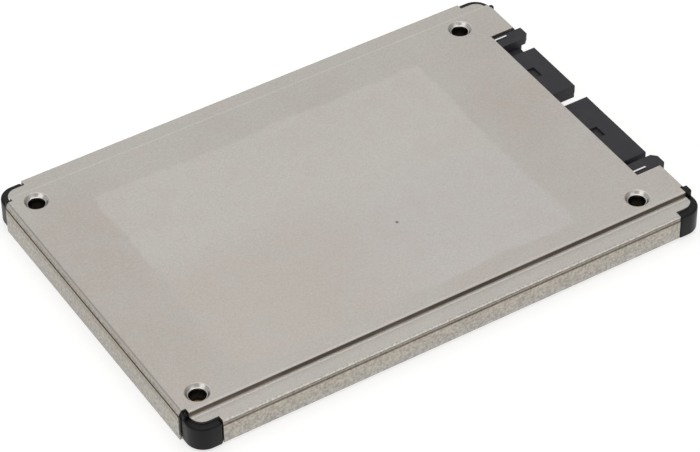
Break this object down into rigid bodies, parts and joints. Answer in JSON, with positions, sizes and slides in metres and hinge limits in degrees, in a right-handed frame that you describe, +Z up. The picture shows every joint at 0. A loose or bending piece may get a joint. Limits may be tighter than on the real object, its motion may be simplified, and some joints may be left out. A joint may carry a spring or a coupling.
{
  "type": "cased 1.8-inch solid state drive",
  "caption": "Thin rectangular solid state drive in a stepped sheet-metal case with black corner pieces, screw dimples and a two-tongue micro-SATA plug in a notched short side.",
  "frame": {"origin": "centre of the whole drive in plan, on the plane of the case's underside", "axes": "+X along the drive towards the plug, +Y across it, +Z up out of the top cover"},
  "size_m": [0.079, 0.054, 0.005],
  "materials": {
    "nickel_sheet": "satin nickel-plated sheet, fine grain, warm grey",
    "black_plastic": "fine matt moulded",
    "plug_plastic": "matt glass-filled moulding",
    "gold_plate": "gold-plated contacts",
    "tinned_steel": "bright tin plate",
    "board_laminate": "green solder mask",
    "package_epoxy": "moulded epoxy",
    "thermal_pad": "soft gap pad",
    "insulating_film": "amber polyester film",
    "brass": "turned",
    "ferrite": "dull",
    "ceramic": "fired"
  },
  "bodies": {
    "root": {"base_tray": "nickel_sheet", "ceramic_capacitor_1": "ceramic", "ceramic_capacitor_2": "ceramic", "ceramic_capacitor_3": "ceramic", "ceramic_capacitor_4": "ceramic", "ceramic_capacitor_5": "ceramic", "ceramic_capacitor_6": "ceramic", "circuit_board": "board_laminate", "clock_crystal": "tinned_steel", "controller_chip": "package_epoxy", "corner_frame": "black_plastic", "flash_chip_1": "package_epoxy", "flash_chip_10": "package_epoxy", "flash_chip_2": "package_epoxy", "flash_chip_3": "package_epoxy", "flash_chip_4": "package_epoxy", "flash_chip_5": "package_epoxy", "flash_chip_6": "package_epoxy", "flash_chip_7": "package_epoxy", "flash_chip_8": "package_epoxy", "flash_chip_9": "package_epoxy", "insulating_film": "insulating_film", "memory_chip": "package_epoxy", "plug_housing": "plug_plastic", "power_contact_1": "gold_plate", "power_contact_2": "gold_plate", "power_contact_3": "gold_plate", "power_contact_4": "gold_plate", "power_contact_5": "gold_plate", "power_contact_6": "gold_plate", "power_contact_7": "gold_plate", "power_contact_8": "gold_plate", "power_contact_9": "gold_plate", "power_inductor_1": "ferrite", "power_inductor_2": "ferrite", "signal_contact_1": "gold_plate", "signal_contact_2": "gold_plate", "signal_contact_3": "gold_plate", "signal_contact_4": "gold_plate", "signal_contact_5": "gold_plate", "signal_contact_6": "gold_plate", "signal_contact_7": "gold_plate", "solder_nail_far": "tinned_steel", "solder_nail_near": "tinned_steel", "thermal_pad": "thermal_pad", "threaded_insert_1": "brass", "threaded_insert_2": "brass", "threaded_insert_3": "brass", "threaded_insert_4": "brass", "top_cover": "nickel_sheet", "voltage_regulator": "package_epoxy"}
  },
  "joints": []
}
